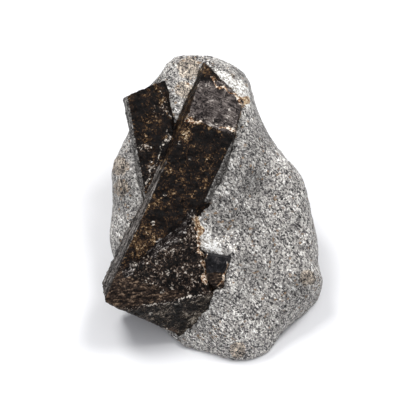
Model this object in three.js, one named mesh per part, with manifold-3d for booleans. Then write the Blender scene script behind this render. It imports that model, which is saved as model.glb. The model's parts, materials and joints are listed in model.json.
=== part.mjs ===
// A staurolite cross: two brown-black crystals grown through each other, still set in the lump of
// fine mica schist that they grew in, with a third small crystal beside them.
// Millimetres, +Z up. The specimen rests on a flat of the schist, with its crystal side sloping up
// and back from -Y.

import * as THREE from 'three';
import { mergeVertices } from 'three/addons/utils/BufferGeometryUtils.js';
import Module from 'manifold-3d';

const wasm = await Module();
wasm.setup();

// ---------- driving dimensions, mm and degrees ----------

// The crystal side is drawn lying flat, x to the right, y up its slope and z out of it. It is then
// tipped up to its slope, and set over the middle of the flat that the schist rests on.
const FACE_SLOPE = 30;
const FACE_CENTRE = [-1.1, -3.7, 20];

// Clear gap between each crystal and the pocket it sits in.
const POCKET_GAP = 0.3;

// Outline of the schist seen square on to the crystal side, clockwise from its peak.
const OUTLINE = [
  [-1.8, 32.1], [2.8, 30.5], [7.6, 27.4], [9.4, 21.0], [14.4, 12.8], [19.0, 5.4], [21.8, -2.6],
  [22.2, -10.8], [23.8, -15.1], [20.2, -19.6], [15.7, -24.4], [12.9, -29.0], [9.3, -30.9],
  [3.6, -31.9], [-2.6, -29.4], [-8.6, -25.0], [-15.2, -18.4], [-19.2, -10.6], [-19.7, -1.6],
  [-19.5, 5.0], [-17.8, 12.4], [-14.1, 19.8], [-11.4, 25.8], [-7.6, 30.0],
];

// Spot heights of the crystal side of the schist: x, y and the height z there.
const SPOT_HEIGHTS = [
  [8.0, 17.0, 0.2], [3.6, 8.0, 2.8], [0.8, 3.0, 3.6], [12.0, 2.0, -0.2], [17.0, -8.0, -1.6],
  [8.0, -8.0, 0.8], [12.0, -18.0, -1.2], [4.5, -24.0, -0.2], [0.8, -1.2, 3.2], [0.5, -10.0, 3.0],
  [1.0, -16.0, 3.4], [-1.8, -20.0, 0.6], [-4.2, -24.0, -3.8], [-7.0, 22.0, -2.9], [-5.5, 27.0, -3.6],
  [3.8, 26.6, 0.7], [-16.5, 10.0, -2.4], [-16.0, 0.0, -0.2], [-17.5, -7.0, -1.0], [-9.0, -2.0, 1.2],
  [-13.0, -17.0, -1.0], [-13.0, 22.0, -5.0], [-2.4, -27.4, -3.2],
];
const SPOT_REACH = 2.6;

// The side rounds over at a rim. Below the rim the lump drops to its foot, which is drawn in by
// these shares of its width and length, and sunk under the table so that a flat can be cut.
const RIM_DEPTH = 8;
const RIM_START = 0.7;
const FOOT_WIDTH = 0.86;
const FOOT_LENGTH = 0.88;
const FOOT_SINK = 4;
// The stone broke along these planes behind: the way each one faces, and its distance.
const BREAKS = [
  { facing: [0.12, 0.98, 0.12], distance: 29.3 },
  { facing: [0.62, 0.77, -0.12], distance: 18.6 },
  { facing: [-0.82, 0.56, -0.12], distance: 20.0 },
];
const LUMP_HEIGHT = 0.4;
const LUMP_LENGTH = 9;
const AROUND = 96;
const FRONT_RINGS = 14;
const SIDE_RINGS = 12;

// Both long crystals pass through one point. lean is to the right of straight up the slope, pitch
// lifts the upper end out of the schist, and roll turns the front face to the right.
const CROSSING = [-8.2, -2.0, -1.8];
const MAIN = { at: CROSSING, lean: 24.5, pitch: -2.5, roll: -8 };
const SECOND = { at: CROSSING, lean: -10.5, pitch: -8, roll: 0 };
const SMALL = { at: [1.3, -12.0, 0.6], lean: 10, pitch: 4, roll: 8 };

// Staurolite's prism: its b face in front meets an m face on each side at 115.3 degrees, so each
// m face is turned this far from it.
const TURN_MB = 180 - 115.3;

// Each crystal face is turned round the prism from the front, tipped towards the upper end, and
// lies out from the crystal's own centre.
const MAIN_FRONT = { turn: 0, tip: 0, out: 5.3 };
const MAIN_LEFT = [
  { turn: -TURN_MB, tip: 0, out: 5.97 },
  { turn: TURN_MB - 180, tip: 0, out: 5.74 },
];
const MAIN_RIGHT = [
  { turn: TURN_MB, tip: 0, out: 8.2 },
  { turn: 180 - TURN_MB, tip: 0, out: 6.6 },
];
const MAIN_BACK = { turn: 180, tip: 0, out: 6.8 };
const MAIN_TOP = [
  { turn: 90, tip: 69, out: 27.2 },
  { turn: 90, tip: 11, out: 9.8 },
  { turn: 0, tip: 14, out: 10.2 },
];
const MAIN_FOOT = [
  { turn: 0, tip: -90, out: 20.4 },
  { turn: -90, tip: -44, out: 16.6 },
];
// Where the main crystal's front breaks off above the knee.
const MAIN_SHOULDER = { turn: 50.6, tip: -19.7, out: 5.67 };

const ARM_FRONT = { turn: 0, tip: 0, out: 2.9 };
const ARM_BACK = { turn: 180, tip: 0, out: 4 };
const LEG_FRONT = { turn: 0, tip: 0, out: 3.9 };
const LEG_BACK = { turn: 180, tip: 0, out: 8 };
const SECOND_ARM = [
  { turn: -TURN_MB, tip: 0, out: 4.63 },
  { turn: TURN_MB - 180, tip: 0, out: 3.42 },
  { turn: TURN_MB, tip: 0, out: 5.05 },
  { turn: 180 - TURN_MB, tip: 0, out: 3.8 },
  { turn: -90, tip: 76, out: 25.5 },
  { turn: 0, tip: -90, out: 6 },
];
const LEG_LEFT = [
  { turn: -TURN_MB, tip: 0, out: 7.4 },
  { turn: TURN_MB - 180, tip: 0, out: 5.1 },
];
const LEG_RIGHT = [
  { turn: TURN_MB, tip: 0, out: 6.4 },
  { turn: 180 - TURN_MB, tip: 0, out: 5.0 },
];
const LEG_TOE = { turn: 0, tip: -20, out: 8.22 };
const LEG_HEEL = { turn: 0, tip: -57, out: 15.61 };
const LEG_FOOT = { turn: 0, tip: -90, out: 23.2 };
const LEG_TOP = { turn: 0, tip: 90, out: 0 };
const LEG_MIDDLE = { turn: 90, tip: 0, out: 0 };

const SMALL_FACES = [
  { turn: 0, tip: 0, out: 2.9 },
  { turn: -TURN_MB, tip: 0, out: 2.9 },
  { turn: TURN_MB, tip: 0, out: 2.9 },
  { turn: TURN_MB - 180, tip: 0, out: 2.2 },
  { turn: 180 - TURN_MB, tip: 0, out: 2.2 },
  { turn: 180, tip: 0, out: 2.6 },
  { turn: 0, tip: 78, out: 3.2 },
  { turn: 0, tip: -52, out: 4.1 },
  { turn: 0, tip: -90, out: 5.2 },
];

// ---------- helpers ----------

const rad = THREE.MathUtils.degToRad;

// From the crystal side lying flat to the specimen standing on the table.
const STANDING = new THREE.Matrix4()
  .makeTranslation(...FACE_CENTRE)
  .multiply(new THREE.Matrix4().makeRotationX(rad(FACE_SLOPE)));

function toSolid(geometry) {
  const bare = geometry.clone();
  bare.deleteAttribute('normal');
  bare.deleteAttribute('uv');
  const merged = mergeVertices(bare, 1e-4);
  const mesh = new wasm.Mesh({
    numProp: 3,
    vertProperties: new Float32Array(merged.attributes.position.array),
    triVerts: new Uint32Array(merged.index.array),
  });
  return new wasm.Manifold(mesh);
}

function toGeometry(solid) {
  const mesh = solid.getMesh();
  const geometry = new THREE.BufferGeometry();
  geometry.setAttribute('position', new THREE.BufferAttribute(mesh.vertProperties, 3));
  geometry.setIndex(new THREE.BufferAttribute(mesh.triVerts, 1));
  const flat = geometry.toNonIndexed();
  flat.computeVertexNormals();
  return flat;
}

// A block that fills everything beyond a plane.
function beyond(normal, distance) {
  const size = 200;
  const block = new THREE.BoxGeometry(size, size, size);
  block.translate(0, 0, size / 2 + distance);
  block.applyQuaternion(new THREE.Quaternion().setFromUnitVectors(new THREE.Vector3(0, 0, 1), normal));
  return block;
}

// ---------- crystals ----------

// The axes of a crystal as it lies in the crystal side.
function seat(frame) {
  const turn = new THREE.Euler(rad(frame.pitch), rad(frame.roll), -rad(frame.lean), 'ZXY');
  return new THREE.Matrix4().makeRotationFromEuler(turn).setPosition(...frame.at);
}

// One crystal face as a plane, its normal and its distance, moved out by a gap.
function facePlane(frame, face, gap) {
  const level = Math.cos(rad(face.tip));
  const normal = new THREE.Vector3(
    level * Math.sin(rad(face.turn)),
    Math.sin(rad(face.tip)),
    level * Math.cos(rad(face.turn)),
  ).transformDirection(seat(frame));
  const distance = normal.dot(new THREE.Vector3(...frame.at)) + face.out + gap;
  return { normal, distance };
}

// A crystal is what its faces enclose. facesByFrame pairs each frame with the faces drawn in it.
function crystal(facesByFrame, gap) {
  let solid = toSolid(new THREE.BoxGeometry(120, 120, 120));
  for (const [frame, faces] of facesByFrame) {
    for (const face of faces) {
      const { normal, distance } = facePlane(frame, face, gap);
      solid = solid.subtract(toSolid(beyond(normal, distance)));
    }
  }
  return solid;
}

// The main crystal, the second crystal's slimmer upper arm and its stout leg, and the knee where
// the leg has grown out over the main crystal's foot.
function twin(gap) {
  const main = crystal([
    [MAIN, [
      MAIN_FRONT, MAIN_SHOULDER, ...MAIN_LEFT, ...MAIN_RIGHT, MAIN_BACK, ...MAIN_TOP, ...MAIN_FOOT,
    ]],
    [SECOND, [LEG_TOE, LEG_HEEL]],
  ], gap);
  const arm = crystal([[SECOND, [ARM_FRONT, ARM_BACK, ...SECOND_ARM]]], gap);
  const leg = crystal([
    [MAIN, MAIN_LEFT],
    [SECOND, [
      LEG_FRONT, LEG_BACK, ...LEG_LEFT, ...LEG_RIGHT, LEG_TOE, LEG_HEEL, LEG_FOOT, LEG_TOP,
    ]],
  ], gap);
  const knee = crystal([
    [MAIN, [...MAIN_LEFT, MAIN_BACK, ...MAIN_FOOT]],
    [SECOND, [LEG_FRONT, LEG_TOE, LEG_HEEL, LEG_TOP, LEG_MIDDLE]],
  ], gap);
  return main.add(arm).add(leg).add(knee);
}

// ---------- schist ----------

// Height of the crystal side at a point: the spot heights, each weighted by how near it is.
function sideHeight(x, y) {
  let sum = 0;
  let weights = 0;
  for (const [spotX, spotY, height] of SPOT_HEIGHTS) {
    const nearness = 1 / ((x - spotX) ** 2 + (y - spotY) ** 2 + SPOT_REACH ** 2) ** 2;
    sum += nearness * height;
    weights += nearness;
  }
  return sum / weights;
}

// Low lumps and hollows all over the stone.
function lump(point) {
  const { x, y, z } = point;
  const wave = (a, b, c) => Math.sin((a * x + b * y + c * z) / LUMP_LENGTH * Math.PI);
  point.x += LUMP_HEIGHT * wave(0.3, 1.1, 0.7);
  point.y += LUMP_HEIGHT * wave(0.9, -0.8, 0.5);
  point.z += LUMP_HEIGHT * wave(1.0, 0.4, -0.9);
}

// One ring of the crystal side, standing. inward is 1 at the outline and 0 at the middle.
function frontRing(outline, middle, inward) {
  const over = Math.max(0, (inward - RIM_START) / (1 - RIM_START));
  const round = 1 - Math.sqrt(Math.max(0, 1 - over * over));
  return outline.map((edge) => {
    const point = middle.clone().lerp(edge, inward);
    point.z = THREE.MathUtils.lerp(sideHeight(point.x, point.y), -RIM_DEPTH, round);
    return point.applyMatrix4(STANDING);
  });
}

// One ring of the sides, with drop 0 at the rim and 1 at the foot.
function sideRing(rim, drop) {
  const down = Math.sin((drop * Math.PI) / 2);
  const inward = 1 - Math.cos((drop * Math.PI) / 2);
  return rim.map((start) => new THREE.Vector3(
    start.x * THREE.MathUtils.lerp(1, FOOT_WIDTH, inward),
    start.y * THREE.MathUtils.lerp(1, FOOT_LENGTH, inward),
    THREE.MathUtils.lerp(start.z, -FOOT_SINK, down),
  ));
}

function schistSkin() {
  const curve = new THREE.CatmullRomCurve3(
    OUTLINE.map(([x, y]) => new THREE.Vector3(x, y, 0)), true, 'centripetal',
  );
  const outline = curve.getSpacedPoints(AROUND).slice(0, AROUND);
  const middle = new THREE.Vector3(2, 0, 0);
  const rings = [];
  for (let i = 0; i <= FRONT_RINGS; i += 1) {
    rings.push(frontRing(outline, middle, Math.sin((i / FRONT_RINGS) * Math.PI / 2)));
  }
  const rim = rings[FRONT_RINGS];
  for (let i = 1; i <= SIDE_RINGS; i += 1) {
    rings.push(sideRing(rim, i / SIDE_RINGS));
  }
  rings.push(rim.map(() => new THREE.Vector3(0, 0, -FOOT_SINK)));
  const faces = [];
  for (let ring = 0; ring + 1 < rings.length; ring += 1) {
    for (let j = 0; j < AROUND; j += 1) {
      const next = (j + 1) % AROUND;
      const near = ring * AROUND;
      const far = near + AROUND;
      faces.push(near + j, near + next, far + j);
      faces.push(near + next, far + next, far + j);
    }
  }
  const points = rings.flat();
  points.forEach(lump);
  const skin = new THREE.BufferGeometry().setFromPoints(points);
  skin.setIndex(faces);
  return skin;
}

function schist(crystals) {
  let stone = toSolid(schistSkin());
  for (const { facing, distance } of BREAKS) {
    stone = stone.subtract(toSolid(beyond(new THREE.Vector3(...facing).normalize(), distance)));
  }
  const table = beyond(new THREE.Vector3(0, 0, -1), 0);
  return stone.subtract(toSolid(table)).subtract(crystals);
}

// ---------- assembly ----------

function stand(solid) {
  return toSolid(toGeometry(solid).applyMatrix4(STANDING));
}

function piece(name, solid, material) {
  const mesh = new THREE.Mesh(toGeometry(solid), new THREE.MeshStandardMaterial(material));
  mesh.name = name;
  return mesh;
}

const smallSolid = stand(crystal([[SMALL, SMALL_FACES]], 0)).subtract(stand(twin(POCKET_GAP)));
const pockets = stand(twin(POCKET_GAP)).add(stand(crystal([[SMALL, SMALL_FACES]], POCKET_GAP)));

const specimen = new THREE.Group();
specimen.add(
  piece('schist_matrix', schist(pockets), { color: '#a3a4a6', roughness: 0.85, metalness: 0 }),
  piece('staurolite_twin', stand(twin(0)), { color: '#3a2a22', roughness: 0.45, metalness: 0 }),
  piece('small_staurolite', smallSolid, { color: '#1d1a1e', roughness: 0.35, metalness: 0 }),
);

export default specimen;
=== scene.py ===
"""A staurolite cross: two brown-black crystals grown through each other, in their mica schist."""

import json
import math

import bpy
import numpy as np
from mathutils import Matrix, Vector, noise
from mathutils.bvhtree import BVHTree

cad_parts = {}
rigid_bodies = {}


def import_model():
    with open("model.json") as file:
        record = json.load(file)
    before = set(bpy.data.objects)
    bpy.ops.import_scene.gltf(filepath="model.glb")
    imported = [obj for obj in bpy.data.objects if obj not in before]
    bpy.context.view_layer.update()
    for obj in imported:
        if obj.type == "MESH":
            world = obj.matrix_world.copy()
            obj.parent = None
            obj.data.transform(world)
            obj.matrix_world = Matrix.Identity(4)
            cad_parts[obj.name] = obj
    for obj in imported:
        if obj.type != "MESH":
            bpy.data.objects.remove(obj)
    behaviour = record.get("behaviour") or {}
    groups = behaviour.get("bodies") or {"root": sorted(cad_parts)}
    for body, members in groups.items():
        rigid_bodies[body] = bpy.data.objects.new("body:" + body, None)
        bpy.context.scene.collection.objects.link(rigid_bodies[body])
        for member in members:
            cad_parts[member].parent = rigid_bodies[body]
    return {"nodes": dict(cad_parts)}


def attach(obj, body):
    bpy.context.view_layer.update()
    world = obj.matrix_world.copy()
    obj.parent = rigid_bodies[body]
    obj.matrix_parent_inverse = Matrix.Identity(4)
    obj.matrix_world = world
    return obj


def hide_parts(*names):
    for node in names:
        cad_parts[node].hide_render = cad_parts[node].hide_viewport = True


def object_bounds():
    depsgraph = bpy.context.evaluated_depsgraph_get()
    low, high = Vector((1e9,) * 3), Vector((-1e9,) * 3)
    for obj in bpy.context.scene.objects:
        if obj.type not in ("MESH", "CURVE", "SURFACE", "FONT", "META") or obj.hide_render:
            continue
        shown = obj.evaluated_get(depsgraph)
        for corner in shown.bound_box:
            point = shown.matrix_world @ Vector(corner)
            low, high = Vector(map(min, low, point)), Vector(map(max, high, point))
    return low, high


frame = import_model()
solid_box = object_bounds()


# ---------- table, light and camera ----------
# The specimen stands on a white sheet in a light tent: a softbox high on each side, a larger one
# above, and a weak glow from all round. The camera looks square on to the sloping crystal side.

MM = 0.001
SIDE_SLOPE = 30
SIDE_CENTRE = Vector((-1.1, -3.7, 20)) * MM
CAMERA_DISTANCE = 400 * MM
CAMERA_FIELD = 83.2 * MM
CAMERA_NEAR = 10 * MM
SENSOR_WIDTH = 36
SHEET_SIZE = 3
SHEET_DROP = 0.05 * MM
SHEET_WHITE = "#f4f4f5"
GLOW = "#f6f8ff"
GLOW_STRENGTH = 0.38
SOFTBOX_DISTANCE = 480 * MM
# Each softbox's name, the way to it, its size in mm and its power in watts.
SOFTBOXES = [
    ("right_softbox", (0.38, 0.24, 1), 150, 1.12),
    ("left_softbox", (-0.4, 0.4, 1), 150, 1.28),
    ("top_softbox", (0, -0.1, 1), 420, 0.4),
]


def linear(colour):
    """Turns an sRGB hex colour to the linear values that Blender uses."""
    parts = [int(colour[i : i + 2], 16) / 255 for i in (1, 3, 5)]
    return [c / 12.92 if c <= 0.04045 else ((c + 0.055) / 1.055) ** 2.4 for c in parts] + [1]


def add_node(tree, kind, settings, links=None):
    """Adds a node with its settings, by socket or property name, and its links, by socket."""
    made = tree.nodes.new(kind)
    for name, value in settings.items():
        if name == "stops":
            ramp = made.color_ramp
            while len(ramp.elements) < len(value):
                ramp.elements.new(1)
            for element, (place, colour) in zip(ramp.elements, value):
                element.position = place
                element.color = linear(colour)
        elif isinstance(name, str) and hasattr(made, name):
            setattr(made, name, value)
        else:
            made.inputs[name].default_value = value
    for name, source in (links or {}).items():
        tree.links.new(source, made.inputs[name])
    return made


def bare_material(name):
    """A new material with an empty node tree."""
    material = bpy.data.materials.new(name)
    material.use_nodes = True
    material.node_tree.nodes.clear()
    return material


tent = bpy.data.worlds.new("light_tent")
tent.use_nodes = True
tent.node_tree.nodes["Background"].inputs["Color"].default_value = linear(GLOW)
tent.node_tree.nodes["Background"].inputs["Strength"].default_value = GLOW_STRENGTH
bpy.context.scene.world = tent
bpy.context.scene.view_settings.view_transform = "Standard"

# Matt white paper: a plain diffuse white with almost no sheen.
paper = bare_material("white_paper")
paper_shader = add_node(
    paper.node_tree,
    "ShaderNodeBsdfPrincipled",
    {"Base Color": linear(SHEET_WHITE), "Roughness": 0.9, "Specular IOR Level": 0.1},
)
add_node(paper.node_tree, "ShaderNodeOutputMaterial", {}, {"Surface": paper_shader.outputs["BSDF"]})

bpy.ops.object.select_all(action="DESELECT")
bpy.ops.mesh.primitive_plane_add(size=SHEET_SIZE, location=(0, 0, -SHEET_DROP))
sheet = bpy.context.object
sheet.name = "paper_sheet"
sheet.data.materials.append(paper)

for name, towards, size, power in SOFTBOXES:
    direction = Vector(towards).normalized()
    bpy.ops.object.light_add(type="AREA", location=SIDE_CENTRE + direction * SOFTBOX_DISTANCE)
    softbox = bpy.context.object
    softbox.name = name
    softbox.data.shape = "SQUARE"
    softbox.data.size = size * MM
    softbox.data.energy = power
    softbox.rotation_euler = direction.to_track_quat("Z", "Y").to_euler()

slope = Matrix.Rotation(math.radians(SIDE_SLOPE), 3, "X")
camera_data = bpy.data.cameras.new("camera")
camera_data.sensor_width = SENSOR_WIDTH
camera_data.lens = SENSOR_WIDTH * CAMERA_DISTANCE / CAMERA_FIELD
camera_data.clip_start = CAMERA_NEAR
camera = bpy.data.objects.new("camera", camera_data)
camera.location = SIDE_CENTRE + slope @ Vector((0, 0, CAMERA_DISTANCE))
camera.rotation_euler = slope.to_euler()
bpy.context.scene.collection.objects.link(camera)
bpy.context.scene.camera = camera


# ---------- crossed staurolite ----------
# Two stout prisms of staurolite that grew through each other as one twin. The brown-black faces
# are rough and pitted, grooved and dusty on their sides, and flecked with amber, mica and quartz.
# Among the white flecks are painted glints, and the top facet has a painted sheen.

TWIN_VOXEL = 0.22 * MM
CROSSING = (-8.2, -2.0, -1.8)
# Each crystal's lean to the right, pitch out of the stone and roll to the right, in degrees.
MAIN_TURNS = (24.5, -2.5, -8)
SECOND_TURNS = (-10.5, -8, 0)
# A crystal face: its turn round the prism and its tip to the upper end, in degrees, and how far
# out it lies, in mm.
MAIN_TOP_FACET = (0, 14, 10.2)
MAIN_LEFT = (-64.7, 0, 5.97)
MAIN_RIGHT = (64.7, 0, 8.2)
ARM_LEFT = (-64.7, 0, 4.63)
LEG_FRONT = (0, 0, 3.9)
LEG_TOE = (0, -20, 8.22)
LEG_HEEL = (0, -57, 15.61)
# A point is on a face when it lies this near to its plane, and off it from this far, in mm.
ON_FACE = 0.15
OFF_FACE = 0.45
# Where finishes start or end, in mm up the slope: each fades in from the first to the second.
FACET_END = (27, 25)
ARM_SIDE_START = (1, 3)
GROOVES_END = (17, 1)
CRUMBS_END = (20, 17)
CRUMBS_START = (0, 2)
LEG_FRONT_END = (0.5, -0.5)
# The upper edge of the brown end of the leg: places across the crystal side, places up its slope,
# and how far the brown fades over it, in mm.
BROWN_EDGE_X = [-20.3, -13.6, -6, -2]
BROWN_EDGE_Y = [-11, -14.6, -16.6, -17.6]
BROWN_EDGE_FADE = (-1, 1)
# White lines stay this near to the front, in mm out of the crystal side.
FRONT_START = (-4, -2)
# The share of a painted spot's radius that is painted in full.
SPOT_CORE = 0.2
# Painted lines waver by up to this far, over this distance, in mm, the same way on each run.
WAVER = 1.0
WAVER_SIZE = 1.6
WAVER_SEED = 4
# Relief leaves out the points that have less of a finish than this.
LEAST_AMOUNT = 0.01
PIT_SIZE = 0.3


def merged_copy(node_name, name):
    """A separate copy of a CAD node with its loose triangles joined, left active and selected."""
    node = frame["nodes"][node_name]
    piece = bpy.data.objects.new(name, node.data.copy())
    piece.data.materials.clear()
    bpy.context.scene.collection.objects.link(piece)
    bpy.ops.object.select_all(action="DESELECT")
    bpy.context.view_layer.objects.active = piece
    piece.select_set(True)
    bpy.ops.object.mode_set(mode="EDIT")
    bpy.ops.mesh.select_all(action="SELECT")
    bpy.ops.mesh.remove_doubles(threshold=0.001 * MM)
    bpy.ops.object.mode_set(mode="OBJECT")
    return piece


def finish_with(piece, kind, settings):
    """Adds a modifier to a piece and applies it."""
    bpy.context.view_layer.objects.active = piece
    modifier = piece.modifiers.new(kind.lower(), kind)
    for name, value in settings.items():
        setattr(modifier, name, value)
    bpy.ops.object.modifier_apply(modifier=modifier.name)


def points_of(piece):
    """The piece's points in mm: x right, y up the slope and z out of the crystal side."""
    points = np.empty(len(piece.data.vertices) * 3)
    piece.data.vertices.foreach_get("co", points)
    return (points.reshape(-1, 3) - np.array(SIDE_CENTRE)) @ np.array(slope) / MM


def crystal_axes(lean, pitch, roll):
    """A crystal's own axes in the crystal side: across it, along it, and out of its front."""
    turn = Matrix.Rotation(-math.radians(lean), 3, "Z")
    turn = turn @ Matrix.Rotation(math.radians(pitch), 3, "X")
    return turn @ Matrix.Rotation(math.radians(roll), 3, "Y")


def fade(value, start, end):
    """0 at start and 1 at end, with a soft change between them."""
    part = np.clip((value - start) / (end - start), 0, 1)
    return part * part * (3 - 2 * part)


def on_face(places, face):
    """1 for the points that lie on a crystal's face, falling to 0 just off it."""
    turn, tip, out = face
    level = math.cos(math.radians(tip))
    normal = np.array([
        level * math.sin(math.radians(turn)),
        math.sin(math.radians(tip)),
        level * math.cos(math.radians(turn)),
    ])
    return fade(np.abs(places @ normal - out), OFF_FACE, ON_FACE)


def near_lines(points, lines):
    """1 for the points on any of the wavering lines, falling to 0 at each line's width."""
    moves = np.array([noise.noise_vector(Vector(point) / WAVER_SIZE) for point in points])
    flat = (points + moves * WAVER)[:, :2]
    best = np.zeros(len(points))
    for width, line in lines:
        for start, end in zip(line, line[1:]):
            start = np.array(start)
            reach = np.array(end) - start
            along = np.clip((flat - start) @ reach / (reach @ reach), 0, 1)
            gap = np.linalg.norm(flat - start - along[:, None] * reach, axis=1)
            best = np.maximum(best, fade(gap, width, 0))
    return best


def in_spots(points, spots):
    """1 at the middle of any of the round spots, seen square on, falling to 0 at its radius."""
    best = np.zeros(len(points))
    for x, y, radius in spots:
        gap = np.hypot(points[:, 0] - x, points[:, 1] - y)
        best = np.maximum(best, fade(gap, radius, radius * SPOT_CORE))
    return best


def paint(piece, name, amount):
    """Stores how much of a finish each point has, for the material and for the relief."""
    layer = piece.data.attributes.new(name, "FLOAT", "POINT")
    layer.data.foreach_set("value", amount.astype(np.float32))


def relief(piece, texture, depth, size, axes=None, finish=""):
    """Pushes a skin in and out, in mm, by a texture's grains, along axes, where a finish is."""
    turn = (slope @ (axes or Matrix.Identity(3))).to_4x4()
    grain = bpy.data.objects.new("grain", None)
    stretch = Matrix.Diagonal((*[length * MM for length in size], 1))
    grain.matrix_world = Matrix.Translation(SIDE_CENTRE) @ turn @ stretch
    bpy.context.scene.collection.objects.link(grain)
    bpy.context.view_layer.update()
    settings = {
        "texture": texture,
        "strength": depth * MM,
        "texture_coords": "OBJECT",
        "texture_coords_object": grain,
    }
    if finish:
        group = piece.vertex_groups.new(name=finish)
        for i, point in enumerate(piece.data.attributes[finish].data):
            if point.value > LEAST_AMOUNT:
                group.add([i], point.value, "REPLACE")
        settings["vertex_group"] = finish
    finish_with(piece, "DISPLACE", settings)
    piece.vertex_groups.clear()
    bpy.data.objects.remove(grain)


def cloud_texture(name, octaves):
    """Soft lumps one unit across, with finer ones on them."""
    texture = bpy.data.textures.new(name, "CLOUDS")
    texture.noise_scale = 1
    texture.noise_depth = octaves
    return texture


def pit_texture(name, size):
    """Round pits of a size, scattered one to a unit: 0.5 on the flat, and lower in a pit."""
    texture = bpy.data.textures.new(name, "VORONOI")
    texture.noise_scale = 1
    texture.use_color_ramp = True
    ramp = texture.color_ramp
    ramp.elements[0].position = 0
    ramp.elements[0].color = (0, 0, 0, 1)
    ramp.elements[1].position = size
    ramp.elements[1].color = (0.5, 0.5, 0.5, 1)
    return texture


noise.seed_set(WAVER_SEED)
lumps = cloud_texture("lumps", octaves=2)
roughness = cloud_texture("roughness", octaves=4)
pits = pit_texture("pits", PIT_SIZE)

twin = merged_copy("staurolite_twin", "crossed_staurolite")
finish_with(twin, "REMESH", {"mode": "VOXEL", "voxel_size": TWIN_VOXEL})

places = points_of(twin)
main_axes = crystal_axes(*MAIN_TURNS)
second_axes = crystal_axes(*SECOND_TURNS)
in_main = (places - np.array(CROSSING)) @ np.array(main_axes)
in_second = (places - np.array(CROSSING)) @ np.array(second_axes)

across, up, out = places.T
top_facet = on_face(in_main, MAIN_TOP_FACET) * fade(up, *FACET_END)
arm_side = on_face(in_second, ARM_LEFT) * fade(up, *ARM_SIDE_START)
grooved = on_face(in_main, MAIN_LEFT) * fade(up, *GROOVES_END)
crumbly = on_face(in_main, MAIN_RIGHT) * fade(up, *CRUMBS_END) * fade(up, *CRUMBS_START)
crumbly = np.maximum(crumbly, arm_side)
heel = on_face(in_second, LEG_HEEL)
leg_front = np.maximum(on_face(in_second, LEG_FRONT), on_face(in_second, LEG_TOE))
leg_front *= fade(in_second[:, 1], *LEG_FRONT_END)
below_edge = np.interp(across, BROWN_EDGE_X, BROWN_EDGE_Y) - up
brown = fade(below_edge, *BROWN_EDGE_FADE) * (1 - heel)
front_only = fade(out, *FRONT_START)

# Where the colours lie, seen square on. A spot is its place and radius, in mm. A line is its
# width and the places it passes, in mm.
AMBER_SPOTS = [
    (-12, 1, 4), (-8.4, 8, 2.6), (-15, -7, 5.5), (-4.6, 14.6, 2.6), (-16.4, -12, 4),
    (-0.8, 27.6, 2), (-12.6, -4, 4), (-14.6, -10, 4.5), (-10, -5, 2.5),
]
AMBER_LINES = [
    (1.6, [(-4.6, 18.2), (0.4, 17.2), (6.4, 15.4)]),
    (0.4, [(-7.6, 5.0), (-4, 6.2), (-0.6, 5.6)]),
    (0.8, [(-10.8, 25.0), (-9.4, 23.6)]),
    (0.8, [(-3.0, -1.6), (-1.8, -6), (-0.6, -12)]),
    (0.8, [(1.6, 26), (3.8, 24)]),
]
RUST_LINES = [
    (0.9, [(0.6, 26.2), (1.4, 25.0), (3.4, 23.8), (5.6, 22.4)]),
    (1.3, [(5.6, 22.0), (7.6, 20.2), (7.2, 18)]),
    (0.8, [(-4.4, 17.6), (-1.2, 17.2)]),
    (0.7, [(2.4, 16.0), (4.8, 15.8), (6.8, 13.6)]),
    (0.5, [(-9.0, 21.4), (-8.2, 18.6)]),
    (1.3, [(-2.8, -2.0), (-1.8, -4.4), (-2.0, -8.4), (-0.8, -10.4), (-0.4, -15)]),
    (0.5, [(-9, -23.4), (-6.8, -26)]),
]
PALE_LINES = [
    (0.8, [(-9.2, 24.2), (-8.2, 20.8), (-7.3, 17.4)]),
    (1.3, [(-7.5, 15.6), (-9.5, 11.0), (-11.6, 6.2), (-12.9, 3)]),
    (0.7, [(-4.6, 18.0), (-0.4, 17.6), (6.2, 15.6)]),
    (0.7, [(-14.2, 12.8), (-11.6, 12.0)]),
    (1.1, [(-12.2, -19.4), (-7.8, -19.0), (-3.6, -17.8), (-0.6, -17.0)]),
    (1.1, [(-11.6, -20.6), (-11.0, -22.2)]),
    (0.7, [(-2.6, -2.0), (-1.6, -6.0), (-0.8, -10.6), (0.2, -15.4)]),
]
PALE_BLOBS = [
    (-8, -12.8, 1.5), (-9, -16.6, 1.4), (-7.2, -15.6, 1.2), (-10.2, -10.8, 1.2), (-7, -8.6, 1.2),
    (-14.6, -11.2, 2.2), (-13.6, 12.2, 1.4), (-5.6, 13, 1.2), (-11, -3, 1.2), (-4.4, -12.6, 1),
    (-5.4, -6.4, 1.2), (-12.4, -14.6, 1), (-11.4, 9.4, 0.9), (-8.6, 2.6, 0.9), (-3.6, 9.6, 0.8),
]
SHOULDER_STREAKS = [
    (1.9, [(-10.6, -8.8), (-8.8, -7.0), (-6.6, -5.6), (-4.8, -3.6), (-3.2, -1.4)]),
    (1.2, [(-16.4, -13.0), (-13.4, -10.8)]),
]
BROWN_SPOTS = [(-7.6, -25.4, 2.4)]
# Spots on the arm where white flecks are painted: mica specks and painted glints.
GLINT_SPOTS = [(-12.4, 7, 5), (-13, 12, 3), (-10, 20, 3), (-11.4, -18, 3)]
GLINT_AMOUNT = 0.5
amber = np.maximum(in_spots(places, AMBER_SPOTS), near_lines(places, AMBER_LINES))
pale = np.maximum(near_lines(places, PALE_LINES) * front_only, in_spots(places, PALE_BLOBS))
paint(twin, "amber", amber)
paint(twin, "facet", top_facet)
paint(twin, "grooved", grooved)
paint(twin, "crumbly", crumbly)
paint(twin, "flecked", np.maximum(leg_front, in_spots(places, GLINT_SPOTS) * GLINT_AMOUNT))
paint(twin, "brown", np.maximum(brown, in_spots(places, BROWN_SPOTS)))
paint(twin, "streaked", near_lines(places, SHOULDER_STREAKS))
paint(twin, "heel", heel)
paint(twin, "pale", pale)
paint(twin, "rust", near_lines(places, RUST_LINES))

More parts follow.
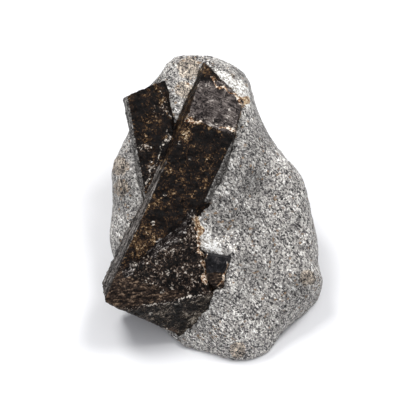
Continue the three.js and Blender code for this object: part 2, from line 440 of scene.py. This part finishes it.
# Each relief's texture, depth and grain size in mm, the axes that it follows, and its finish.
for texture, depth, size, axes, finish in [
    (lumps, 0.6, (4, 4, 4), None, ""),
    (roughness, 0.55, (1.1, 1.1, 1.1), None, ""),
    (pits, 0.5, (1.5, 1.5, 1.5), None, ""),
    (roughness, 0.45, (0.6, 9, 0.6), main_axes, "grooved"),
    (roughness, 0.3, (3, 0.6, 1), main_axes, "facet"),
    (roughness, 0.5, (0.9, 0.9, 0.9), None, "flecked"),
    (roughness, 0.35, (1.6, 0.5, 0.5), second_axes, "brown"),
]:
    relief(twin, texture, depth, size, axes, finish)
bpy.ops.object.select_all(action="DESELECT")
twin.select_set(True)
bpy.ops.object.shade_smooth()

# Staurolite, an iron aluminium silicate: brown-black and half opaque, with a dull glassy skin. It
# is broken up by amber flecks, white mica specks, grey dust in the grooves and rusty seams. Some
# white specks are painted glints, and the top facet's grey is partly a painted sheen.
STAUROLITE_IOR = 1.74
# The rough, dusty faces throw back far less light than a clean face would.
STAUROLITE_SPECULAR = 0.06
SHINIEST = 0.25
DULLEST = 0.6
GRIT_HEIGHT = 0.3 * MM
# The sizes of the patterns' grains, in mm. The finest real flecks, of 0.05 mm, wouldn't show, so
# the smallest are drawn at 0.28 mm.
FINE_SIZE = (0.7, 0.7, 0.7)
CELL_SIZE = (0.28, 0.28, 0.28)
THREAD_SIZE = (0.9, 0.9, 0.9)
EDGE_SIZE = (1.2, 1.2, 1.2)
PATCH_SIZE = (2.6, 2.6, 2.6)
BROWN_SIZE = (1.6, 0.4, 0.5)
FACET_SIZE = (1.6, 0.3, 0.5)
GROOVE_SIZE = (0.3, 6, 0.3)
STREAK_SIZE = (1.3, 0.35, 0.6)
# How far the streaks on the shoulder rise to the right, in degrees.
SHOULDER_RISE = 38
# How far the fine pattern is swirled, in grains.
SWIRL = 1.5
# Threads run where noise is this near to its middle.
NOISE_MIDDLE = 0.5
THREAD_WIDTH = 0.03
# The gloss goes from the shiniest to the dullest over this range of noise.
GLOSS_START = 0.3
GLOSS_END = 0.7
# The change of noise over which a finish's edge goes from none to full.
EDGE_FADE = 0.12
staurolite = bare_material("rough_staurolite")
tree = staurolite.node_tree
place = add_node(tree, "ShaderNodeTexCoord", {})


def in_grains(size, axes=None):
    """The mapping that measures places in grains, of a size in mm, along axes in the side."""
    return {
        "vector_type": "TEXTURE",
        "Location": SIDE_CENTRE,
        "Rotation": (slope @ (axes or Matrix.Identity(3))).to_euler(),
        "Scale": Vector(size) * MM,
    }


def clouds(tree, place, mapping, detail, swirl=0.0):
    """Noise one grain across with finer noise on it, about 0.5 and mostly 0.35 to 0.65."""
    grain = add_node(tree, "ShaderNodeMapping", mapping, {"Vector": place.outputs["Object"]})
    made = add_node(
        tree,
        "ShaderNodeTexNoise",
        {"Scale": 1, "Detail": detail, "Roughness": 0.6, "Distortion": swirl},
        {"Vector": grain.outputs["Vector"]},
    )
    return made.outputs["Fac"]


def random_cells(tree, place, mapping):
    """A random value from 0 to 1 for each grain."""
    grain = add_node(tree, "ShaderNodeMapping", mapping, {"Vector": place.outputs["Object"]})
    cells = add_node(
        tree,
        "ShaderNodeTexVoronoi",
        {"Scale": 1},
        {"Vector": grain.outputs["Vector"]},
    )
    split = add_node(tree, "ShaderNodeSeparateColor", {}, {"Color": cells.outputs["Color"]})
    return split.outputs[0]


def summed(tree, shares, shift=0.0):
    """The sum of values, each times its share, and of a shift."""
    total = None
    for value, share in shares:
        settings = {"operation": "MULTIPLY_ADD", 1: share, 2: shift}
        made = add_node(tree, "ShaderNodeMath", settings, {0: value})
        if total is not None:
            tree.links.new(total, made.inputs[2])
        total = made.outputs[0]
    return total


def cover(tree, colour, skin, amount_name, ragged, start):
    """Lays a skin over a colour where an amount and ragged noise together pass a start."""
    amount = add_node(tree, "ShaderNodeAttribute", {"attribute_name": amount_name})
    together = add_node(
        tree,
        "ShaderNodeMath",
        {"operation": "ADD"},
        {0: amount.outputs["Fac"], 1: ragged},
    )
    share = add_node(
        tree,
        "ShaderNodeMapRange",
        {"From Min": start, "From Max": start + EDGE_FADE},
        {"Value": together.outputs[0]},
    )
    mixed = add_node(
        tree,
        "ShaderNodeMix",
        {"data_type": "RGBA"},
        {0: share.outputs[0], 6: colour, 7: skin},
    )
    return mixed.outputs[2]


fine = clouds(tree, place, in_grains(FINE_SIZE), 4, SWIRL)
patches = clouds(tree, place, in_grains(PATCH_SIZE), 2)
soft_edge = clouds(tree, place, in_grains(EDGE_SIZE), 3)
brown_grain = clouds(tree, place, in_grains(BROWN_SIZE, second_axes), 3)
facet_grain = clouds(tree, place, in_grains(FACET_SIZE, main_axes), 3)
groove_grain = clouds(tree, place, in_grains(GROOVE_SIZE, main_axes), 3)
shoulder = Matrix.Rotation(math.radians(SHOULDER_RISE), 3, "Z")
streak_grain = clouds(tree, place, in_grains(STREAK_SIZE, shoulder), 3)
cells = random_cells(tree, place, in_grains(CELL_SIZE))
threads = add_node(
    tree,
    "ShaderNodeMath",
    {"operation": "COMPARE", 1: NOISE_MIDDLE, 2: THREAD_WIDTH},
    {0: clouds(tree, place, in_grains(THREAD_SIZE), 2)},
)
threads = threads.outputs[0]
amber_amount = add_node(tree, "ShaderNodeAttribute", {"attribute_name": "amber"})
amber_amount = amber_amount.outputs["Fac"]

# The patterns: each mixes these in shares, and a shift brings the mix back to about 0.5.
mottle = summed(
    tree,
    [(fine, 0.9), (patches, 0.5), (cells, 0.08), (threads, 0.03), (amber_amount, 0.095)],
    -0.235,
)
flecks = summed(tree, [(fine, 1), (cells, 0.12), (threads, 0.04), (patches, 0.4)], -0.26)
brown_ribs = summed(tree, [(brown_grain, 0.9), (cells, 0.16), (threads, 0.06)])
facet_dust_and_sheen = summed(tree, [(facet_grain, 0.5), (fine, 0.5), (patches, 0.5)], -0.24)
grooves = summed(tree, [(groove_grain, 1), (cells, 0.16)], -0.06)
crumbs = summed(tree, [(fine, 0.7), (cells, 0.3)])
shoulder_streaks = summed(tree, [(streak_grain, 0.4), (fine, 0.7), (cells, 0.12)], -0.1)
grit = summed(tree, [(fine, 1), (cells, 0.2)], -0.1)

# A skin's colours are a list of a pattern's values, each with the colour that it has there.
BARE_FACES = [
    (0.42, "#050404"), (0.52, "#100b09"), (0.59, "#241811"), (0.66, "#4c3723"),
    (0.74, "#8f7453"), (0.82, "#e0d2b8"),
]
bare = add_node(tree, "ShaderNodeValToRGB", {"stops": BARE_FACES}, {"Fac": mottle})
colour = bare.outputs["Color"]
# The finishes, laid over each other in turn: each one's name, the noise that makes its edge ragged
# and the start that its amount and that noise have to pass, its pattern and its colours.
for name, edge, start, pattern, stops in [
    (
        "heel", soft_edge, 0.9, mottle,
        [
            (0.38, "#050403"), (0.5, "#16120f"), (0.57, "#3d342d"), (0.65, "#857a6c"),
            (0.74, "#cfc5b5"),
        ],
    ),
    (
        # White flecks on the leg's front and the arm: mica and quartz specks, and painted glints.
        "flecked", soft_edge, 0.9, flecks,
        [
            (0.37, "#040404"), (0.51, "#130e0c"), (0.58, "#35271f"), (0.66, "#75675b"),
            (0.76, "#e8e1d6"),
        ],
    ),
    (
        "brown", soft_edge, 0.9, brown_ribs,
        [(0.42, "#0f0b09"), (0.54, "#281e18"), (0.64, "#4b3c32"), (0.74, "#937d68")],
    ),
    (
        "streaked", fine, 1.0, shoulder_streaks,
        [(0.42, "#0c0909"), (0.52, "#2c2422"), (0.6, "#726b66"), (0.7, "#dad6d0")],
    ),
    # The top facet's grey: grey dust, and a painted sheen where the facet tips up to the top
    # softbox.
    (
        "facet", fine, 1.36, facet_dust_and_sheen,
        [
            (0.36, "#171312"), (0.45, "#3d3634"), (0.54, "#5f5754"), (0.63, "#8a817b"),
            (0.71, "#e6dfd6"),
        ],
    ),
    (
        "grooved", soft_edge, 0.95, grooves,
        [(0.4, "#151211"), (0.52, "#413c39"), (0.62, "#79736e"), (0.72, "#aaa49e")],
    ),
    (
        "crumbly", soft_edge, 0.9, crumbs,
        [(0.3, "#151312"), (0.45, "#454240"), (0.6, "#7b7874"), (0.75, "#c2bfba")],
    ),
    ("glassy", soft_edge, 1.1, mottle, [(0.4, "#101012"), (0.58, "#2b2a2d"), (0.72, "#5c5754")]),
    ("pale", fine, 1.42, grit, [(0.4, "#1d1917"), (0.52, "#6f655b"), (0.66, "#eae2d6")]),
    (
        "rust", fine, 1.2, grit,
        [(0.36, "#2a160e"), (0.45, "#74482c"), (0.53, "#c4a480"), (0.62, "#f5ecdf")],
    ),
]:
    skin = add_node(tree, "ShaderNodeValToRGB", {"stops": stops}, {"Fac": pattern})
    colour = cover(tree, colour, skin.outputs["Color"], name, edge, start)

bump = add_node(
    tree,
    "ShaderNodeBump",
    {"Strength": 1, "Distance": GRIT_HEIGHT},
    {"Height": summed(tree, [(fine, 1), (cells, 0.25)])},
)
gloss = add_node(
    tree,
    "ShaderNodeMapRange",
    {"From Min": GLOSS_START, "From Max": GLOSS_END, "To Min": SHINIEST, "To Max": DULLEST},
    {"Value": fine},
)
shader = add_node(
    tree,
    "ShaderNodeBsdfPrincipled",
    {"IOR": STAUROLITE_IOR, "Specular IOR Level": STAUROLITE_SPECULAR},
    {"Base Color": colour, "Roughness": gloss.outputs[0], "Normal": bump.outputs["Normal"]},
)
add_node(tree, "ShaderNodeOutputMaterial", {}, {"Surface": shader.outputs["BSDF"]})
twin.data.materials.append(staurolite)
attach(twin, "root")
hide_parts("staurolite_twin")


# ---------- side crystal ----------
# A third, smaller staurolite that grew beside the cross, in a pocket of its own. It is smooth and
# blue-black on its upper face, and brown and rusty at its foot.

SIDE_VOXEL = 0.12 * MM
SIDE_FOOT = (-12.2, -13.8)
SIDE_RIM = [
    (0.7, [(-0.4, -10.2), (0.2, -9.2)]),
    (0.6, [(3.8, -11.4), (3.6, -13), (1.8, -16.6)]),
]
side = merged_copy("small_staurolite", "side_staurolite")
finish_with(side, "REMESH", {"mode": "VOXEL", "voxel_size": SIDE_VOXEL})
places = points_of(side)
low_end = fade(places[:, 1], *SIDE_FOOT)
paint(side, "amber", low_end)
paint(side, "brown", low_end)
paint(side, "glassy", 1 - low_end)
paint(side, "rust", near_lines(places, SIDE_RIM))
relief(side, lumps, 0.15, (2, 2, 2))
relief(side, roughness, 0.2, (0.7, 0.7, 0.7))
bpy.ops.object.select_all(action="DESELECT")
side.select_set(True)
bpy.ops.object.shade_smooth()
side.data.materials.append(staurolite)
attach(side, "root")
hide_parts("small_staurolite")


# ---------- mica schist ----------
# The rock that the crystals grew in: fine grey mica schist, a felt of quartz and feldspar grains,
# pale muscovite and black biotite flakes, weathered round and stained rusty in places.

SCHIST_VOXEL = 0.33 * MM
SMOOTHING = {"factor": 0.5, "iterations": 8}
# Stone this near to a crystal is drawn just under the crystal's skin, fading out to the far
# distance, in mm.
HUG_NEAR = 0.5
HUG_FAR = 0.9
HUG_DEPTH = 0.1
# Where the painted light and shade and the crusts start, in mm out of the crystal side.
SHADE_START = (-14, -6)
CRUST_START = (-3, -1)
PALE_AMOUNT = 0.8
DARK_AMOUNT = 1.2

schist = merged_copy("schist_matrix", "mica_schist_lump")
finish_with(schist, "REMESH", {"mode": "VOXEL", "voxel_size": SCHIST_VOXEL})
# The remesh leaves a crumb between two pockets: all that isn't joined to the foot is deleted.
bpy.ops.object.mode_set(mode="EDIT")
bpy.ops.mesh.select_all(action="DESELECT")
bpy.ops.object.mode_set(mode="OBJECT")
foot = min(schist.data.vertices, key=lambda vertex: vertex.co.z)
foot.select = True
bpy.ops.object.mode_set(mode="EDIT")
bpy.ops.mesh.select_linked()
bpy.ops.mesh.select_all(action="INVERT")
bpy.ops.mesh.delete(type="VERT")
bpy.ops.object.mode_set(mode="OBJECT")
finish_with(schist, "SMOOTH", SMOOTHING)

# Paler and darker places, seen square on, each a place and radius in mm: partly the stone's own
# cloudy tone, partly painted light and shade. The bottom, which faces down away from the softboxes,
# is painted lighter, and the stone beside the cross is painted darker as shade.
PALE_AND_PAINTED_LIGHT_SPOTS = [
    (0.2, -7.4, 3), (4.4, -6.6, 3), (4.4, -14, 3), (14, -2, 3), (14, 8, 4), (8, -28, 8),
    (2, -26, 9),
]
DARK_AND_PAINTED_SHADE_SPOTS = [
    (7.0, 12, 5.5), (4.6, 6, 6.5), (8.4, 5, 5), (3.4, 0, 6), (8, -2, 4), (7, -10.6, 3.5),
    (12, 15, 4), (-16.6, 4, 8), (-12, 26, 5), (18, -16, 4), (11.4, 12.6, 0.7), (12, 8.2, 0.8),
    (17.4, 4.2, 0.9), (7, 27, 3),
]
STAINS = [
    (4.8, 26.4, 1.1), (7.4, 24.4, 1.2), (-4, 28.4, 4), (-5, 24, 3), (-18, 8.5, 3.5),
    (-17.4, 4, 3), (20, -14, 3), (6, -28.6, 3),
]
WHITE_LINES = [
    (2.6, [(1.6, 28), (3.8, 25.6), (6.4, 23.8), (9.0, 21.2)]),
    (2.0, [(-1.0, -5.2), (0.4, -7.0), (1.8, -9.0)]),
    (1.0, [(-2.0, -3), (-0.6, -6), (-0.6, -9), (0.2, -14)]),
]
RUST_SEAMS = [
    (1.0, [(-2.4, -2.4), (-1.2, -4.6), (-1.4, -8.4), (-0.2, -10.6), (0.2, -15), (0.8, -17)]),
    (0.9, [(1.4, 26.6), (2.6, 25.2), (4.4, 24)]),
    (1.0, [(6.4, 22.6), (8, 21.0)]),
    (0.8, [(3.8, -10), (4.0, -12), (3.0, -15)]),
]
places = points_of(schist)
# The shade attribute holds painted light and shade together with the stone's own paler and darker
# patches.
shade = in_spots(places, PALE_AND_PAINTED_LIGHT_SPOTS) * PALE_AMOUNT - in_spots(places, DARK_AND_PAINTED_SHADE_SPOTS) * DARK_AMOUNT
near_front = fade(places[:, 2], *CRUST_START)
paint(schist, "shade", shade * fade(places[:, 2], *SHADE_START))
paint(schist, "stain", in_spots(places, STAINS))
paint(schist, "crust", near_lines(places, WHITE_LINES) * near_front)
paint(schist, "rust", near_lines(places, RUST_SEAMS) * near_front)

relief(schist, lumps, 0.5, (5, 5, 5))
relief(schist, roughness, 0.4, (1.3, 1.3, 1.3))
relief(schist, pits, 0.3, (1.6, 1.6, 1.6))

# The schist closes in on the crystals to the skin, and keeps its flat underside on the table.
scene_state = bpy.context.evaluated_depsgraph_get()
crystal_skins = [BVHTree.FromObject(crystal, scene_state) for crystal in (twin, side)]
for vertex in schist.data.vertices:
    for skin in crystal_skins:
        nearest, normal, _, gap = skin.find_nearest(vertex.co, HUG_FAR * MM)
        if nearest is not None:
            hug = float(fade(gap / MM, HUG_FAR, HUG_NEAR))
            vertex.co = vertex.co.lerp(nearest - normal * HUG_DEPTH * MM, hug)
    vertex.co.z = max(vertex.co.z, solid_box[0].z)
bpy.ops.object.select_all(action="DESELECT")
schist.select_set(True)
bpy.ops.object.shade_smooth()

# Mica schist, broken and weathered: a matt grey felt of pale and dark grains that lie along its
# layers, with white crusts and rusty seams by the crystals. Its palest grains are painted near
# white as glints of mica, and painted light and shade make it paler or darker in places.
SCHIST_IOR = 1.55
SCHIST_ROUGHNESS = 0.6
SCHIST_SPECULAR = 0.35
FELT_HEIGHT = 0.25 * MM
# How far the layers rise to the right across the crystal side, in degrees. They fall, so it is
# below 0.
LINEATION = -50
# The sizes of the patterns' grains, in mm. The finest real grains, of 0.1 mm, wouldn't show, so
# the smallest are drawn at 0.2 to 0.3 mm.
SMALL_GRAIN = (0.3, 0.24, 0.2)
LARGE_GRAIN = (0.6, 0.4, 0.36)
STREAK = (2.0, 1.1, 1.0)
ZONE = (7, 5, 4)
STAIN_GRAIN = (1.1, 1.1, 1.1)
CRUST_GRAIN = (0.8, 0.8, 0.8)
# The stone's brightness where its zones and its painted light and shade add up to the low and
# to the high sum.
SHADE_SHARE = 0.36
LOW_SUM = 0.1
HIGH_SUM = 0.9
DARKEST = 0.62
LIGHTEST = 1.34
# Loose flakes: biotite and rust. Each one's size in mm, the share of places that have none, and
# its colour.
FLAKES = [((0.4, 0.32, 0.28), 0.93, "#262324"), ((0.5, 0.4, 0.35), 0.965, "#8d7459")]
FLAKE_FADE = 0.02
FLAKE_COVER = 0.85
STAIN_TINT = "#e3c9a6"
STAIN_STRENGTH = 0.5
# The felt's colours, from its darkest grains to its palest, whose near white is partly painted
# glints of mica, and those of the crusts and seams.
MINERALS_AND_GLINTS = [
    (0.1, "#1c1a1b"), (0.24, "#565353"), (0.4, "#8c8885"), (0.6, "#b0aca6"), (0.8, "#dbd7d0"),
    (0.92, "#fffdf8"),
]
CRUST_WHITE = [(0.2, "#8f8981"), (0.45, "#d6d2cb"), (0.7, "#fbfaf7")]
SEAM_RUST = [(0.2, "#4d3220"), (0.45, "#a07a54"), (0.75, "#e9d5b4")]
rock = bare_material("mica_schist")
tree = rock.node_tree
place = add_node(tree, "ShaderNodeTexCoord", {})
foliation = Matrix.Rotation(math.radians(LINEATION), 3, "Z")
small_cells = random_cells(tree, place, in_grains(SMALL_GRAIN, foliation))
large_cells = random_cells(tree, place, in_grains(LARGE_GRAIN, foliation))
streaks = clouds(tree, place, in_grains(STREAK, foliation), 4)
felt = summed(tree, [(small_cells, 0.75), (large_cells, 0.2), (streaks, 0.75)], -0.35)
minerals_and_glints = add_node(tree, "ShaderNodeValToRGB", {"stops": MINERALS_AND_GLINTS}, {"Fac": felt})
zones = clouds(tree, place, in_grains(ZONE, foliation), 3)
shade_amount = add_node(tree, "ShaderNodeAttribute", {"attribute_name": "shade"})
brightness = add_node(
    tree,
    "ShaderNodeMapRange",
    {"From Min": LOW_SUM, "From Max": HIGH_SUM, "To Min": DARKEST, "To Max": LIGHTEST},
    {"Value": summed(tree, [(zones, 1), (shade_amount.outputs["Fac"], SHADE_SHARE)])},
)
toned = add_node(
    tree,
    "ShaderNodeVectorMath",
    {"operation": "SCALE"},
    {0: minerals_and_glints.outputs["Color"], "Scale": brightness.outputs[0]},
)
colour = toned.outputs[0]
for size, bare_share, flake_colour in FLAKES:
    flakes = add_node(
        tree,
        "ShaderNodeMapRange",
        {"From Min": bare_share, "From Max": bare_share + FLAKE_FADE, "To Max": FLAKE_COVER},
        {"Value": random_cells(tree, place, in_grains(size))},
    )
    flaked = add_node(
        tree,
        "ShaderNodeMix",
        {"data_type": "RGBA", 7: linear(flake_colour)},
        {0: flakes.outputs[0], 6: colour},
    )
    colour = flaked.outputs[2]
tinted = add_node(
    tree,
    "ShaderNodeMix",
    {"data_type": "RGBA", "blend_type": "MULTIPLY", 0: STAIN_STRENGTH, 7: linear(STAIN_TINT)},
    {6: colour},
)
stain_noise = clouds(tree, place, in_grains(STAIN_GRAIN), 3)
colour = cover(tree, colour, tinted.outputs[2], "stain", stain_noise, 1.0)
broken_edge = clouds(tree, place, in_grains(CRUST_GRAIN), 3)
crust = add_node(tree, "ShaderNodeValToRGB", {"stops": CRUST_WHITE}, {"Fac": felt})
colour = cover(tree, colour, crust.outputs["Color"], "crust", broken_edge, 0.9)
seams = add_node(tree, "ShaderNodeValToRGB", {"stops": SEAM_RUST}, {"Fac": felt})
colour = cover(tree, colour, seams.outputs["Color"], "rust", broken_edge, 1.0)
bump = add_node(
    tree,
    "ShaderNodeBump",
    {"Strength": 1, "Distance": FELT_HEIGHT},
    {"Height": felt},
)
shader = add_node(
    tree,
    "ShaderNodeBsdfPrincipled",
    {
        "Roughness": SCHIST_ROUGHNESS,
        "IOR": SCHIST_IOR,
        "Specular IOR Level": SCHIST_SPECULAR,
    },
    {"Base Color": colour, "Normal": bump.outputs["Normal"]},
)
add_node(tree, "ShaderNodeOutputMaterial", {}, {"Surface": shader.outputs["BSDF"]})
schist.data.materials.append(rock)
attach(schist, "root")
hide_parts("schist_matrix")
